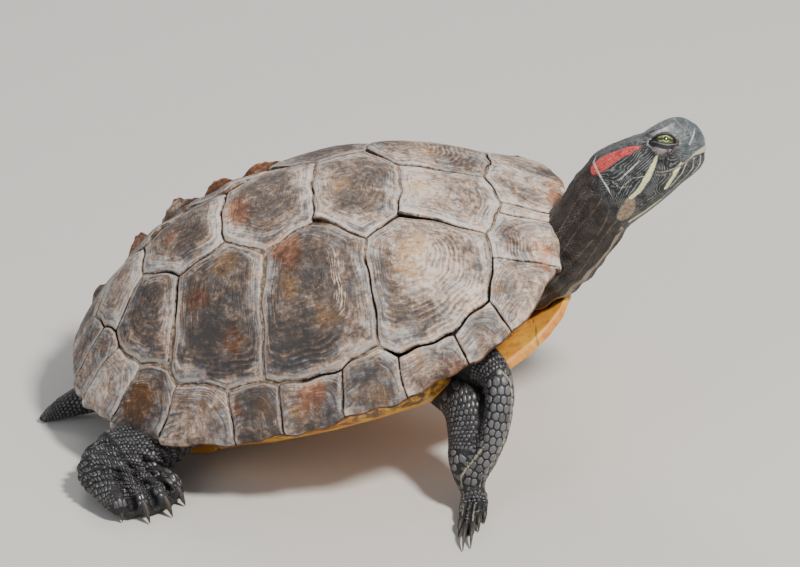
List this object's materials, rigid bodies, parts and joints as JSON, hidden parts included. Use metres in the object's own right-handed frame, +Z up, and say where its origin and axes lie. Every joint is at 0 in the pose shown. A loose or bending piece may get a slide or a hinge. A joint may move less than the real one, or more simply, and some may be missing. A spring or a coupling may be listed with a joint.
{
  "type": "red-eared slider turtle",
  "caption": "Life-size adult red-eared slider turtle as a still model, basking with its neck stretched up and its forelegs braced.",
  "frame": {"origin": "middle of the bounding box's underside, on the floor that the feet stand on", "axes": "+X towards the head, +Y to the animal's left, +Z up"},
  "size_m": [0.2846, 0.2244, 0.1467],
  "materials": {
    "scute": "weathered horn scutes, grey-brown and tan with darker blotches, matt",
    "plastron": "yellow-orange horn, satin",
    "skin": "dark scaly skin with pale yellow stripes and a red patch behind each eye",
    "eye": "green iris with a dark bar, wet gloss"
  },
  "bodies": {
    "root": {"nuchal": "scute", "vertebral_1": "scute", "vertebral_2": "scute", "vertebral_3": "scute", "vertebral_4": "scute", "vertebral_5": "scute", "costal_left_1": "scute", "costal_left_2": "scute", "costal_left_3": "scute", "costal_left_4": "scute", "marginal_left_1": "scute", "marginal_left_2": "scute", "marginal_left_3": "scute", "marginal_left_4": "scute", "marginal_left_5": "scute", "marginal_left_6": "scute", "marginal_left_7": "scute", "marginal_left_8": "scute", "marginal_left_9": "scute", "marginal_left_10": "scute", "marginal_left_11": "scute", "marginal_left_12": "scute", "costal_right_1": "scute", "costal_right_2": "scute", "costal_right_3": "scute", "costal_right_4": "scute", "marginal_right_1": "scute", "marginal_right_2": "scute", "marginal_right_3": "scute", "marginal_right_4": "scute", "marginal_right_5": "scute", "marginal_right_6": "scute", "marginal_right_7": "scute", "marginal_right_8": "scute", "marginal_right_9": "scute", "marginal_right_10": "scute", "marginal_right_11": "scute", "marginal_right_12": "scute", "plastron": "plastron", "trunk": "skin", "neck": "skin", "head": "skin", "lower_jaw": "skin", "tail": "skin", "front_left_leg": "skin", "front_left_foot": "skin", "front_right_leg": "skin", "front_right_foot": "skin", "hind_left_leg": "skin", "hind_left_foot": "skin", "hind_right_leg": "skin", "hind_right_foot": "skin", "eye_left": "eye", "eye_right": "eye"}
  },
  "joints": []
}
